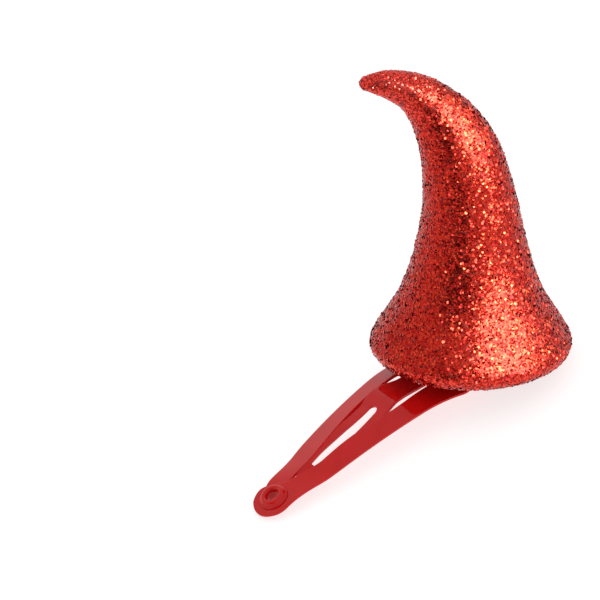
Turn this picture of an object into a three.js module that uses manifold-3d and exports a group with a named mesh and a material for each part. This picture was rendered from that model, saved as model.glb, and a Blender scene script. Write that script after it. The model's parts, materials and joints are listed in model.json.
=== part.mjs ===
// A devil horn hair clip: a curved foam horn with a glitter coat, glued by its flat underside
// to the wide end of a painted spring-steel snap clip. Millimetres and degrees, +Z up.
//
// The clip is laid out flat first. Along it, "reach" is measured from the middle of the eyelet
// towards the wide end, "side" is measured from the middle line, and "up" is measured off the
// sheet. The arch of the clip then carries that flat layout into space.
import * as THREE from 'three';
import { mergeVertices } from 'three/addons/utils/BufferGeometryUtils.js';
import Module from 'manifold-3d';

const wasm = await Module();
wasm.setup();

const radians = THREE.MathUtils.degToRad;
const smooth = THREE.MathUtils.smoothstep;
const clamp = THREE.MathUtils.clamp;

// Clearance kept between neighbouring pieces
const GAP = 0.3;

// Horn
const HORN_RIM_ROUND = 2.9;
const HORN_RIM_STEPS = 6;
const HORN_SIDES = 44;
const HORN_STEPS = 36;
const HORN_TIP_STEPS = 3;
const HORN_SWEEP_TURN = 40;
const HORN_SECTIONS = [
  { rise: 2.9, sweep: 0, radius: 17 },
  { rise: 6.3, sweep: 0, radius: 15.1 },
  { rise: 9.8, sweep: 0, radius: 12.9 },
  { rise: 14, sweep: 0, radius: 11.1 },
  { rise: 20, sweep: 0, radius: 9.35 },
  { rise: 29, sweep: 0.4, radius: 7.75 },
  { rise: 36.4, sweep: 1.75, radius: 6.75 },
  { rise: 39.8, sweep: 3.1, radius: 6.1 },
  { rise: 42.6, sweep: 4.7, radius: 5.4 },
  { rise: 45.8, sweep: 7.2, radius: 4.35 },
  { rise: 48, sweep: 10, radius: 3.4 },
  { rise: 49.2, sweep: 13.2, radius: 2.6 },
  { rise: 49.6, sweep: 15.6, radius: 2 },
  { rise: 49.6, sweep: 17.6, radius: 1.3 },
];

// Sheet of the clip, and how its middle line runs: flat under the horn, a bend at the
// horn's rim, then a gentle arch down to the eyelet
const SHEET = 0.45;
const HORN_CENTRE_REACH = 45.3;
const HORN_CENTRE_SIDE = -1.2;
const BEND_REACH = 38.8;
const BEND_LENGTH = 10;
const BEND_SLOPE = radians(19.3);
const ARCH_LENGTH = BEND_REACH - BEND_LENGTH;
const ARCH_SLOPE = radians(13.3);

// Frame: two legs with gently curved edges, joined by a round wide end. The slit between the
// legs runs off the middle line towards the top leg where the legs lap
const LEG_OUTER = { half: 3.75, spread: 0.158, ease: 0.0009 };
const LEG_INNER = { slim: 1.05, wide: 3.6, from: 8, to: 29 };
const SLIT_SHIFT = { by: 0.57, from: 9, to: 19 };
const SLIT_TAPER = { top: -1.45, low: 0.27, from: 3.5, to: 10.5 };
const WIDE_END_REACH = 40;
const WIDE_END_DEPTH = 8.5;
const ROOT_REACH = 38;
const FRAME_ROOT_REACH = ROOT_REACH + GAP / 2;
const LEG_CELLS = 36;
const END_CELLS = 5;
const WIDE_END_CELLS = 24;
const FRAME_CELLS = 2 * LEG_CELLS + WIDE_END_CELLS;
const FRAME_CELLS_ACROSS = 4;
const LEG_BANK = Math.tan(radians(13.7));
const BANK_START = { from: 1, to: 9 };
const BANK_END = { from: 37.5, to: 42.5 };
const END_LENGTH = 3.85;
const END_ANGLE = radians(50);
const LOWER_END_INSET = 0.5;
const LOWER_END_FADE = 3;
const CROSSING = { from: 0, to: 5 };
const LAP_GAP = 0.15;
const LAP_FADE = { from: 4.5, to: 12 };
const LAP_TOP = 0.15;
const LAP_LOW = LAP_TOP - SHEET - LAP_GAP;

// Tongue: from its root at the wide end it dips, comes up level with the legs at its waist, and runs
// on with one edge level with the lower leg and the other turned down under the top leg. Each row
// has the side of both its edges, the height of its middle line and its slope across
const TONGUE_STATIONS = [
  { reach: ROOT_REACH - GAP / 2, near: -3.2, far: 3.2, up: 0, slope: 0 },
  { reach: 36, near: -2.8, far: 3, up: -0.65, slope: 0 },
  { reach: 34.2, near: -2.35, far: 2.8, up: -1.15, slope: 0 },
  { reach: 32.4, near: -2.15, far: 2.8, up: -1.32, slope: 0 },
  { reach: 30.6, near: -2.25, far: 3, up: -1.12, slope: 0 },
  { reach: 28.8, near: -2.5, far: 3.25, up: -0.75, slope: 0 },
  { reach: 27, near: -2.68, far: 3.23, up: -0.55, slope: 0 },
  { reach: 25.2, near: -2.8, far: 3.08, up: -0.82, slope: 0 },
  { reach: 23.5, near: -2.8, far: 2.87, up: -1.12, slope: 0 },
  { reach: 22, near: -2.7, far: 2.64, up: -1.22, slope: 0.05 },
  { reach: 20, near: -2.88, far: 2.3, up: -1.22, slope: 0.12 },
  { reach: 18, near: -2.95, far: 1.92, up: -1.1, slope: 0.2 },
  { reach: 16, near: -2.95, far: 1.45, up: -0.98, slope: 0.27 },
  { reach: 14, near: -2.9, far: 0.97, up: -0.78, slope: 0.32 },
  { reach: 12, near: -2.85, far: 0.54, up: -0.57, slope: 0.36 },
  { reach: 10, near: -2.7, far: 0.29, up: -0.47, slope: 0.38 },
  { reach: 8.2, near: -2.25, far: 0.25, up: -0.47, slope: 0.38 },
  { reach: 7.2, near: -1.95, far: 0.25, up: -0.5, slope: 0.46 },
  { reach: 6.4, near: -1.5, far: 0.25, up: -0.55, slope: 0.55 },
  { reach: 5.8, near: -1.1, far: 0.22, up: -0.62, slope: 0.6 },
  { reach: 5.4, near: -0.7, far: 0.05, up: -0.72, slope: 0.6 },
];
const TONGUE_CELLS = 60;
const TONGUE_CELLS_ACROSS = 6;
const TONGUE_FLAT = { from: 33, to: 37.5 };
const SLOT = { tip: 8.9, root: 24.6, half: 0.95, tipRound: 0.4, endHalf: 0.05, cells: 26 };
const SLOT_SKEW = { reach: 24.6, side: 0.18, slope: 0.084 };

// Eyelet: a hollow rivet with a rolled ring on top and a thin flange below
const EYELET_BORE = 1.1;
const EYELET_BARREL = 1.55;
const EYELET_RING_RADIUS = 2.3;
const EYELET_RING_HEIGHT = 0.62;
const EYELET_RING_STEPS = 7;
const EYELET_FLANGE = 0.35;
const EYELET_SIDES = 28;
const EYELET_CUT = 6 * SHEET;
const END_BORE = EYELET_BARREL + GAP;

// How the clip lies on a table, on its eyelet and the back of the horn's rim
const REST_LEAN = 16.49;
const REST_ROLL = 1.48;

const PAINT = { color: 0xb3211f, roughness: 0.22, metalness: 0.1 };
const GLITTER = { color: 0xb01812, roughness: 0.45, metalness: 0.4 };

/** Joins the corners that share a place and drops the faces that have shrunk to a line. */
function closedGeometry(geometry) {
  geometry.deleteAttribute('normal');
  geometry.deleteAttribute('uv');
  const merged = mergeVertices(geometry, 1e-5);
  const index = merged.index.array;
  const kept = [];
  for (let i = 0; i < index.length; i += 3) {
    const [a, b, c] = index.slice(i, i + 3);
    if (a !== b && b !== c && c !== a) {
      kept.push(a, b, c);
    }
  }
  merged.setIndex(kept);
  return merged;
}

/** Moves every corner of a geometry to where place(x, y, z) puts it. */
function reshape(geometry, place) {
  const corners = geometry.attributes.position;
  for (let i = 0; i < corners.count; i += 1) {
    const { x, y, z } = place(corners.getX(i), corners.getY(i), corners.getZ(i));
    corners.setXYZ(i, x, y, z);
  }
  return geometry;
}

function toSolid(geometry) {
  const closed = closedGeometry(geometry);
  const vertProperties = new Float32Array(closed.attributes.position.array);
  const triVerts = new Uint32Array(closed.index.array);
  return new wasm.Manifold(new wasm.Mesh({ numProp: 3, vertProperties, triVerts }));
}

function toGeometry(solid) {
  const mesh = solid.getMesh();
  const geometry = new THREE.BufferGeometry();
  geometry.setAttribute('position', new THREE.BufferAttribute(mesh.vertProperties, 3));
  geometry.setIndex(new THREE.BufferAttribute(mesh.triVerts, 1));
  return geometry;
}

/** Sideways and upward travel of an arc of a given length between two slopes. */
function arcTravel(length, slopeFrom, slopeTo) {
  const half = (slopeTo - slopeFrom) / 2;
  const chord = half === 0 ? length : (length * Math.sin(half)) / half;
  const middle = (slopeFrom + slopeTo) / 2;
  return { along: chord * Math.cos(middle), down: chord * Math.sin(middle) };
}

/** A point of the clip in space: reach and side lie in the flat sheet, up stands off its top. */
function onClip(reach, side, up) {
  const bent = clamp(BEND_REACH - reach, 0, BEND_LENGTH);
  const arched = Math.max(ARCH_LENGTH - reach, 0);
  const bendSlope = (BEND_SLOPE * bent) / BEND_LENGTH;
  const slope = bendSlope + (ARCH_SLOPE * arched) / ARCH_LENGTH;
  const bend = arcTravel(bent, 0, bendSlope);
  const arch = arcTravel(arched, bendSlope, slope);
  const flat = Math.max(reach, BEND_REACH) - HORN_CENTRE_REACH;
  return new THREE.Vector3(
    HORN_CENTRE_SIDE - side,
    flat - bend.along - arch.along - Math.sin(slope) * up,
    -GAP - bend.down - arch.down + Math.cos(slope) * up,
  );
}

/** A strip of sheet, cut into cells, whose corners are placed by place(along, across). */
function strip(cellsAlong, cellsAcross, bottom, top, place) {
  const box = new THREE.BoxGeometry(1, 1, 1, cellsAlong, cellsAcross, 1);
  return reshape(box, (x, y, z) => {
    const spot = place(x + 0.5, y + 0.5);
    const up = spot.up + (z > 0 ? top : bottom);
    return onClip(spot.reach, spot.side, up);
  });
}

/** Length of a leg's round end. The lower one is smaller, and hides under the top one. */
function endLength(hand) {
  return hand > 0 ? END_LENGTH - LOWER_END_INSET : END_LENGTH;
}

/** Outer edge of a leg: half an ellipse at its end, then the curved edge. */
function legOuter(reach, hand) {
  const run = Math.max(reach, 0);
  const past = Math.min(reach, 0) / endLength(hand);
  const inset = hand > 0 ? LOWER_END_INSET * (1 - smooth(reach, 0, LOWER_END_FADE)) : 0;
  const edge = LEG_OUTER.half + run * (LEG_OUTER.spread - run * LEG_OUTER.ease);
  return (edge - inset) * Math.sqrt(1 - past * past);
}

/** Inner edge of a leg, which crosses the middle line to become the far side of the round end. */
function legInner(reach, hand) {
  const farSide = -legOuter(Math.min(reach, 0), hand);
  const opened = smooth(reach, LEG_INNER.from, LEG_INNER.to);
  const edge = THREE.MathUtils.lerp(LEG_INNER.slim, LEG_INNER.wide, opened);
  const shift = SLIT_SHIFT.by * (1 - smooth(reach, SLIT_SHIFT.from, SLIT_SHIFT.to));
  const closing = 1 - smooth(reach, SLIT_TAPER.from, SLIT_TAPER.to);
  const taper = (hand > 0 ? SLIT_TAPER.low : SLIT_TAPER.top) * closing;
  const crossed = smooth(reach, CROSSING.from, CROSSING.to);
  return THREE.MathUtils.lerp(farSide, edge - hand * shift + taper, crossed);
}

/** How far the sheet falls away from its middle line, as a low roof. */
function bankDrop(reach, side) {
  const rising = smooth(reach, BANK_START.from, BANK_START.to);
  const falling = 1 - smooth(reach, BANK_END.from, BANK_END.to);
  return LEG_BANK * rising * falling * Math.abs(side);
}

/** Height of a leg's top: banked away from the middle line, and lapped at the eyelet. */
function legUp(reach, side, hand) {
  const lap = hand > 0 ? LAP_LOW : LAP_TOP;
  return lap * (1 - smooth(reach, LAP_FADE.from, LAP_FADE.to)) - bankDrop(reach, side);
}

/** Where the inner and outer edge are along a leg, and how far the round end bulges past them. */
function legStation(cell, hand) {
  if (cell < END_CELLS) {
    const angle = THREE.MathUtils.lerp(END_ANGLE, Math.PI / 2, cell / END_CELLS);
    const reach = -endLength(hand) * Math.cos(angle);
    const bulge = endLength(hand) * (1 - Math.cos(END_ANGLE)) * (1 - cell / END_CELLS);
    return { innerReach: reach, outerReach: reach, bulge };
  }
  const share = (cell - END_CELLS) / (LEG_CELLS - END_CELLS);
  return { innerReach: FRAME_ROOT_REACH * share, outerReach: WIDE_END_REACH * share, bulge: 0 };
}

/** A point of the horseshoe: along runs round it from 0 to 1, across from its outer left edge. */
function frameSpot(along, across) {
  const cell = along * FRAME_CELLS;
  const hand = cell < FRAME_CELLS / 2 ? -1 : 1;
  const legCell = Math.min(cell, FRAME_CELLS - cell);
  const inner = new THREE.Vector2();
  const outer = new THREE.Vector2();
  let bulge = 0;
  if (legCell <= LEG_CELLS) {
    const station = legStation(legCell, hand);
    inner.set(station.innerReach, hand * legInner(station.innerReach, hand));
    outer.set(station.outerReach, hand * legOuter(station.outerReach, hand));
    bulge = station.bulge * (1 - (2 * across - 1) ** 2);
  } else {
    const turn = ((cell - LEG_CELLS) / WIDE_END_CELLS - 0.5) * Math.PI;
    inner.set(FRAME_ROOT_REACH, legInner(FRAME_ROOT_REACH, hand) * Math.sin(turn));
    outer.set(
      WIDE_END_REACH + WIDE_END_DEPTH * Math.cos(turn),
      legOuter(WIDE_END_REACH, hand) * Math.sin(turn),
    );
  }
  const spot = outer.lerp(inner, across);
  return { reach: spot.x - bulge, side: spot.y, up: legUp(spot.x - bulge, spot.y, hand) };
}

/** Turns a shape made round its own Z axis to stand on the sheet at the eyelet. */
function atEyelet(geometry) {
  const middle = onClip(0, 0, 0);
  const normal = onClip(0, 0, 1).sub(middle);
  const turn = new THREE.Quaternion().setFromUnitVectors(new THREE.Vector3(0, 0, 1), normal);
  return geometry.applyQuaternion(turn).translate(middle.x, middle.y, middle.z);
}

function frameGeometry() {
  const band = strip(FRAME_CELLS, FRAME_CELLS_ACROSS, -SHEET, 0, frameSpot);
  const bore = new THREE.CylinderGeometry(END_BORE, END_BORE, EYELET_CUT, EYELET_SIDES);
  bore.rotateX(Math.PI / 2);
  return toGeometry(toSolid(band).subtract(toSolid(atEyelet(bore))));
}

/** Rows of the tongue from its root to its tip, drawn smoothly through its stations. */
function tongueRows() {
  const edges = TONGUE_STATIONS.map((row) => new THREE.Vector3(row.reach, row.near, row.far));
  const heights = TONGUE_STATIONS.map((row) => new THREE.Vector3(row.reach, row.up, row.slope));
  const edgeLine = new THREE.CatmullRomCurve3(edges);
  const heightLine = new THREE.CatmullRomCurve3(heights);
  return Array.from({ length: TONGUE_CELLS + 1 }, (_, cell) => {
    const edge = edgeLine.getPoint(cell / TONGUE_CELLS);
    const height = heightLine.getPoint(cell / TONGUE_CELLS);
    return { reach: edge.x, near: edge.y, far: edge.z, up: height.y, slope: height.z };
  });
}

/** Height of the tongue's top at a reach and a side, read between two of its rows. */
function tongueUp(rows, reach, side) {
  const next = rows.findIndex((row) => row.reach <= reach);
  const [from, to] = [rows[next - 1], rows[next]];
  const share = THREE.MathUtils.inverseLerp(from.reach, to.reach, reach);
  const up = THREE.MathUtils.lerp(from.up, to.up, share);
  return up + side * THREE.MathUtils.lerp(from.slope, to.slope, share);
}

/** Half the slot's width at a reach: a round end at its root, and a squarer one at its tip. */
function slotHalf(reach) {
  const ends = [
    { past: reach - SLOT.tip, round: SLOT.tipRound },
    { past: SLOT.root - reach, round: SLOT.half },
  ];
  const cuts = ends.map(({ past, round }) => {
    const short = 1 - clamp(past / round, 0, 1);
    return round * (1 - Math.sqrt(1 - short * short));
  });
  return Math.max(SLOT.half - Math.max(...cuts), SLOT.endHalf);
}

function tongueGeometry() {
  const rows = tongueRows();
  const blade = strip(TONGUE_CELLS, TONGUE_CELLS_ACROSS, -SHEET, 0, (along, across) => {
    const row = rows[Math.round((1 - along) * TONGUE_CELLS)];
    const side = THREE.MathUtils.lerp(row.near, row.far, across);
    const banked = bankDrop(row.reach, side) * smooth(row.reach, TONGUE_FLAT.from, TONGUE_FLAT.to);
    return { reach: row.reach, side, up: row.up + row.slope * side - banked };
  });
  const cutter = strip(SLOT.cells, 2, -2 * SHEET, SHEET, (along, across) => {
    const reach = THREE.MathUtils.lerp(SLOT.tip, SLOT.root, (1 - Math.cos(along * Math.PI)) / 2);
    const middle = SLOT_SKEW.side - (SLOT_SKEW.reach - reach) * SLOT_SKEW.slope;
    const side = middle + slotHalf(reach) * (2 * across - 1);
    return { reach, side, up: tongueUp(rows, reach, side) };
  });
  return toGeometry(toSolid(blade).subtract(toSolid(cutter)));
}

function eyeletGeometry() {
  const ringFoot = LAP_TOP + GAP;
  const flangeTop = LAP_LOW - SHEET - GAP;
  const flangeFoot = flangeTop - EYELET_FLANGE;
  const profile = [
    [EYELET_BORE, flangeFoot],
    [EYELET_RING_RADIUS, flangeFoot],
    [EYELET_RING_RADIUS, flangeTop],
    [EYELET_BARREL, flangeTop],
    [EYELET_BARREL, ringFoot],
  ];
  const ringMiddle = (EYELET_RING_RADIUS + EYELET_BORE) / 2;
  const ringHalf = (EYELET_RING_RADIUS - EYELET_BORE) / 2;
  for (let step = 0; step <= EYELET_RING_STEPS; step += 1) {
    const turn = (step / EYELET_RING_STEPS) * Math.PI;
    profile.push([ringMiddle + ringHalf * Math.cos(turn), ringFoot + EYELET_RING_HEIGHT * Math.sin(turn)]);
  }
  profile.push(profile[0]);
  const points = profile.map(([radius, up]) => new THREE.Vector2(radius, up));
  const ring = new THREE.LatheGeometry(points, EYELET_SIDES).rotateX(Math.PI / 2);
  return closedGeometry(atEyelet(ring));
}

/** Rings of the horn from the middle of its underside to its tip. */
function hornRings() {
  const base = HORN_SECTIONS[0];
  const flat = base.radius - HORN_RIM_ROUND;
  const rings = [{ sweep: 0, rise: 0, lean: 0, radius: 0 }];
  for (let step = 0; step < HORN_RIM_STEPS; step += 1) {
    const turn = (step / HORN_RIM_STEPS) * (Math.PI / 2);
    rings.push({
      sweep: 0,
      rise: HORN_RIM_ROUND * (1 - Math.cos(turn)),
      lean: 0,
      radius: flat + HORN_RIM_ROUND * Math.sin(turn),
    });
  }
  const rows = HORN_SECTIONS.map((row) => new THREE.Vector3(row.sweep, row.rise, row.radius));
  const body = new THREE.CatmullRomCurve3(rows);
  for (let step = 0; step <= HORN_STEPS; step += 1) {
    const spot = body.getPointAt(step / HORN_STEPS);
    const heading = body.getTangentAt(step / HORN_STEPS);
    const lean = Math.atan2(Math.max(heading.x, 0), heading.y);
    rings.push({ sweep: spot.x, rise: spot.y, lean: step === 0 ? 0 : lean, radius: spot.z });
  }
  const last = rings[rings.length - 1];
  for (let step = 1; step <= HORN_TIP_STEPS; step += 1) {
    const turn = (step / HORN_TIP_STEPS) * (Math.PI / 2);
    const ahead = last.radius * Math.sin(turn);
    rings.push({
      sweep: last.sweep + ahead * Math.sin(last.lean),
      rise: last.rise + ahead * Math.cos(last.lean),
      lean: last.lean,
      radius: step === HORN_TIP_STEPS ? 0 : last.radius * Math.cos(turn),
    });
  }
  return rings;
}

/** The horn is turned as a stack of rings, which are then set along its leaning middle line. */
function hornGeometry() {
  const rings = hornRings();
  const stack = rings.map((ring, level) => new THREE.Vector2(ring.radius, level));
  const turned = new THREE.LatheGeometry(stack, HORN_SIDES);
  reshape(turned, (x, level, z) => {
    const ring = rings[Math.round(level)];
    return new THREE.Vector3(
      -z,
      -ring.sweep - x * Math.cos(ring.lean),
      ring.rise - x * Math.sin(ring.lean),
    );
  });
  return closedGeometry(turned);
}

function piece(name, geometry, finish) {
  const mesh = new THREE.Mesh(geometry, new THREE.MeshStandardMaterial(finish));
  mesh.name = name;
  return mesh;
}

const horn = piece('horn', hornGeometry(), GLITTER);
horn.rotation.z = radians(-HORN_SWEEP_TURN);

const clip = new THREE.Group();
clip.add(
  piece('clip_frame', frameGeometry(), PAINT),
  piece('clip_tongue', tongueGeometry(), PAINT),
  piece('eyelet', eyeletGeometry(), PAINT),
);

const part = new THREE.Group();
part.add(horn, clip);
part.rotation.set(radians(-REST_LEAN), radians(-REST_ROLL), 0);

// The origin is on the table, under the middle of the whole part
part.updateMatrixWorld(true);
const reach = new THREE.Box3().setFromObject(part, true);
const middle = reach.getCenter(new THREE.Vector3());
part.position.set(-middle.x, -middle.y, -reach.min.z);

export default part;
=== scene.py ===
"""Looks of a devil horn hair clip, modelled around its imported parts, in metres.

A foam horn with a coat of red glitter stands on the wide end of an enamelled snap clip. The clip is a
stamped sheet: a horseshoe frame whose two legs lap at an eyelet, and a slotted tongue between them.
Along the clip, reach runs from the middle of the eyelet towards the wide end, side runs from the middle
line, and up stands off the sheet. The clip's own axes have their origin in the middle of the horn's
underside, with +Z up the horn and -Y towards the eyelet.
"""

import json
import logging
import math
from dataclasses import dataclass, replace
from enum import Enum, IntEnum
from typing import Any, Callable

import bmesh
import bpy
import numpy as np
from mathutils import Matrix, Vector

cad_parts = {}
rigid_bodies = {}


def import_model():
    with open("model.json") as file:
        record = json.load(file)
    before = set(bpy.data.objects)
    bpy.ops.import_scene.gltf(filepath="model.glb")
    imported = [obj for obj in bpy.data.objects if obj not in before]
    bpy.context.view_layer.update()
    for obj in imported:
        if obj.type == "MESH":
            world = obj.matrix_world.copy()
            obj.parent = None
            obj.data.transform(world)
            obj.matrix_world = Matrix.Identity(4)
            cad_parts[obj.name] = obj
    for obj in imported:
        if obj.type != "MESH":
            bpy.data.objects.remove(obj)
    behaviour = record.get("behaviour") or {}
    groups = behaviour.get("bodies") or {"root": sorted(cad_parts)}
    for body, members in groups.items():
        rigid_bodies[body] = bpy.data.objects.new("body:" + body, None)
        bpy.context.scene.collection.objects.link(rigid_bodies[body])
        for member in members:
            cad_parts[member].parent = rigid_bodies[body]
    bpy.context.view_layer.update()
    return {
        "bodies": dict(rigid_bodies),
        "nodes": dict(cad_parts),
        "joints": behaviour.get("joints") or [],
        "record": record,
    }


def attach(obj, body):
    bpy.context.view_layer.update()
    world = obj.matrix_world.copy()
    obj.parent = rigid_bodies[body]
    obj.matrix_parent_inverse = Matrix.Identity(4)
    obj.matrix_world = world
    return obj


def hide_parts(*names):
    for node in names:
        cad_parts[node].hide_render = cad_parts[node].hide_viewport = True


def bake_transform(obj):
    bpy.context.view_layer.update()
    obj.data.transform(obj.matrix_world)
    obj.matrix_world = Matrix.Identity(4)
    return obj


log = logging.getLogger("horn_clip")

Colour = tuple[float, float, float]
Stop = tuple[float, Colour]
Corner = Callable[[float, float], Vector]
MERGE = 1e-7
UPWARD = Vector((0.0, 0.0, 1.0))


class Body(Enum):
    """The moving bodies of the clip."""

    CLIP = "clip"
    TONGUE = "tongue"


class Slot(Enum):
    """The finishes that the record names."""

    GLITTER = "glitter_foam"
    ENAMEL = "red_enamel"


class Leg(IntEnum):
    """The legs of the frame, by the sign of the side that they lie on."""

    TOP = -1
    LOWER = 1


def smooth(value: float, low: float, high: float) -> float:
    """Ease from 0 at low to 1 at high.

    Args:
        value: Where to read the ease.
        low: Where it starts to rise.
        high: Where it has reached 1.

    Returns:
        A share from 0 to 1, level at both ends.
    """
    share = np.clip((value - low) / (high - low), 0.0, 1.0)
    return share * share * (3.0 - 2.0 * share)


def spline(rows: np.ndarray, steps: int) -> np.ndarray:
    """Draw a curve through every row, with its speed set by the root of the rows' distances.

    Args:
        rows: Points in any number of dimensions, one in each row.
        steps: Points to draw from each row to the next.

    Returns:
        The drawn points, from the first row to the last.
    """
    first = 2.0 * rows[0] - rows[1]
    last = 2.0 * rows[-1] - rows[-2]
    held = np.vstack([first, rows, last])
    drawn = [rows[0]]
    for before, start, end, after in zip(held, held[1:], held[2:], held[3:]):
        lead = math.sqrt(np.linalg.norm(start - before))
        span = math.sqrt(np.linalg.norm(end - start))
        trail = math.sqrt(np.linalg.norm(after - end))
        leave = (start - before) / lead - (end - before) / (lead + span) + (end - start) / span
        arrive = (end - start) / span - (after - start) / (span + trail) + (after - end) / trail
        for step in range(1, steps + 1):
            t = step / steps
            drawn.append(
                start * (2 * t**3 - 3 * t**2 + 1)
                + end * (3 * t**2 - 2 * t**3)
                + leave * span * (t**3 - 2 * t**2 + t)
                + arrive * span * (t**3 - t**2)
            )
    return np.array(drawn)


def deselect() -> None:
    """Clear the selection, so that the next operators act on one new piece only."""
    bpy.ops.object.select_all(action="DESELECT")


def named(name: str) -> bpy.types.Object:
    """Give the active object and its mesh a name.

    Args:
        name: The piece's name.

    Returns:
        The named object.
    """
    piece = bpy.context.active_object
    piece.name = name
    piece.data.name = name
    return piece


def apply_modifier(piece: bpy.types.Object, kind: str, **settings: Any) -> None:
    """Put a modifier on a piece and apply it.

    Args:
        piece: The piece to shape, which becomes the active object.
        kind: The modifier's type.
        settings: The modifier's settings by name.
    """
    bpy.context.view_layer.objects.active = piece
    made = piece.modifiers.new(kind.lower(), kind)
    for setting, value in settings.items():
        setattr(made, setting, value)
    bpy.ops.object.modifier_apply(modifier=made.name)


def settle(piece: bpy.types.Object, place: Matrix) -> None:
    """Move a piece that was made at the origin to its place, and keep that place in its mesh.

    Args:
        piece: The piece to move.
        place: Where its own axes go.
    """
    deselect()
    piece.select_set(True)
    bpy.context.view_layer.objects.active = piece
    piece.matrix_world = place
    bpy.ops.object.transform_apply(location=True, rotation=True, scale=True)


def laid_grid(name: str, cells: tuple[int, int], place: Corner) -> bpy.types.Object:
    """Lay a grid of faces on a surface.

    Args:
        name: The piece's name.
        cells: Faces along and across.
        place: Gives a corner's place from its shares along and across, which run from 0 to 1.

    Returns:
        The laid sheet, with no thickness yet.
    """
    deselect()
    bpy.ops.mesh.primitive_grid_add(x_subdivisions=cells[0], y_subdivisions=cells[1], size=1.0)
    sheet = named(name)
    for corner in sheet.data.vertices:
        corner.co = place(corner.co.x + 0.5, corner.co.y + 0.5)
    sheet.data.update()
    return sheet


def weld() -> None:
    """Merge the corners of the mesh in edit mode that lie in one place."""
    bpy.ops.mesh.select_all(action="SELECT")
    bpy.ops.mesh.remove_doubles(threshold=MERGE)


def face_up(sheet: bpy.types.Object, upward: Vector) -> None:
    """Turn a laid sheet's faces over if they look down.

    Args:
        sheet: The sheet, with no thickness yet.
        upward: The way that its top looks.
    """
    total = sum((face.normal * face.area for face in sheet.data.polygons), Vector())
    if total.dot(upward) < 0.0:
        sheet.data.flip_normals()


def shade(piece: bpy.types.Object, finish: bpy.types.Material, crease: float) -> None:
    """Shade a piece smooth up to a crease angle and give it its finish.

    Args:
        piece: The piece to dress.
        finish: Its material.
        crease: Angle in radians past which an edge stays sharp.
    """
    deselect()
    piece.select_set(True)
    bpy.context.view_layer.objects.active = piece
    bpy.ops.object.shade_smooth_by_angle(angle=crease)
    piece.data.materials.clear()
    piece.data.materials.append(finish)


@dataclass(frozen=True)
class ClipLayout:
    """The clip laid out flat, and the bend and arch that carry the layout into the clip's own axes."""

    gap: float = 0.3e-3
    sheet: float = 0.45e-3
    horn_reach: float = 45.3e-3
    horn_side: float = -1.2e-3
    root_reach: float = 38e-3
    bend_reach: float = 38.8e-3
    bend_length: float = 10e-3
    bend_slope: float = math.radians(19.3)
    arch_slope: float = math.radians(13.3)
    bank: float = math.tan(math.radians(13.7))
    bank_start: tuple[float, float] = (1e-3, 9e-3)
    bank_end: tuple[float, float] = (37.5e-3, 42.5e-3)
    lap_gap: float = 0.03e-3
    lap_top: float = 0.15e-3
    lap_fade: tuple[float, float] = (4.5e-3, 12e-3)

    @property
    def lap_low(self) -> float:
        """The height of the lower leg's top where it lies under the top leg."""
        return self.lap_top - self.sheet - self.lap_gap

    @staticmethod
    def arc(length: float, slope_from: float, slope_to: float) -> tuple[float, float]:
        """Travel along an arc between two slopes.

        Args:
            length: The arc's length.
            slope_from: Its slope where it starts, in radians.
            slope_to: Its slope where it ends, in radians.

        Returns:
            How far it goes along, and how far down.
        """
        half = (slope_to - slope_from) / 2.0
        chord = length * math.sin(half) / half if half else length
        middle = (slope_from + slope_to) / 2.0
        return chord * math.cos(middle), chord * math.sin(middle)

    def point(self, reach: float, side: float, up: float) -> Vector:
        """Carry a point of the flat layout into the clip's own axes.

        Args:
            reach: Distance from the eyelet along the clip.
            side: Distance from the middle line.
            up: Height off the top of the sheet.

        Returns:
            The point in the clip's own axes.
        """
        arch_length = self.bend_reach - self.bend_length
        bent = min(max(self.bend_reach - reach, 0.0), self.bend_length)
        arched = max(arch_length - reach, 0.0)
        bend_slope = self.bend_slope * bent / self.bend_length
        slope = bend_slope + self.arch_slope * arched / arch_length
        bend_along, bend_down = self.arc(bent, 0.0, bend_slope)
        arch_along, arch_down = self.arc(arched, bend_slope, slope)
        flat = max(reach, self.bend_reach) - self.horn_reach
        return Vector((
            self.horn_side - side,
            flat - bend_along - arch_along - math.sin(slope) * up,
            -self.gap - bend_down - arch_down + math.cos(slope) * up,
        ))

    def bank_drop(self, reach: float, side: float) -> float:
        """Bank the sheet as a low roof.

        Args:
            reach: Distance from the eyelet along the clip.
            side: Distance from the middle line.

        Returns:
            How far the sheet falls away from its middle line.
        """
        rising = smooth(reach, *self.bank_start)
        falling = 1.0 - smooth(reach, *self.bank_end)
        return self.bank * rising * falling * abs(side)

    def leg_up(self, reach: float, side: float, leg: Leg) -> float:
        """Return the height of a leg's top, banked, and lapped at the eyelet."""
        lap = self.lap_low if leg is Leg.LOWER else self.lap_top
        return lap * (1.0 - smooth(reach, *self.lap_fade)) - self.bank_drop(reach, side)


@dataclass(frozen=True)
class Placement:
    """Where the clip's own axes stand in the frame."""

    matrix: Matrix

    @classmethod
    def from_frame(cls, frame: dict[str, Any], layout: ClipLayout) -> "Placement":
        """Find the clip's axes from the tongue's hinge and the plate's underside.

        Args:
            frame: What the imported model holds.
            layout: The clip's layout, which says where the hinge is on it.

        Returns:
            The placement.
        """
        hinge = frame["joints"][0]
        plate = frame["record"]["mounts"][0]
        across = Vector(hinge["axis"]).normalized()
        upward = -Vector(plate["axis"]).normalized()
        along = upward.cross(across).normalized()
        turn = Matrix((across, along, upward)).transposed()
        hinge_point = layout.point(layout.root_reach, 0.0, -layout.sheet / 2.0)
        origin = Vector(hinge["pos_m"]) - turn @ hinge_point
        return cls(Matrix.Translation(origin) @ turn.to_4x4())

    def at(self, point: Vector) -> Vector:
        """Return a point of the clip's own axes in the frame."""
        return self.matrix @ point

    def along(self, direction: Vector) -> Vector:
        """Return a direction of the clip's own axes in the frame."""
        return self.matrix.to_3x3() @ direction


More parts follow.
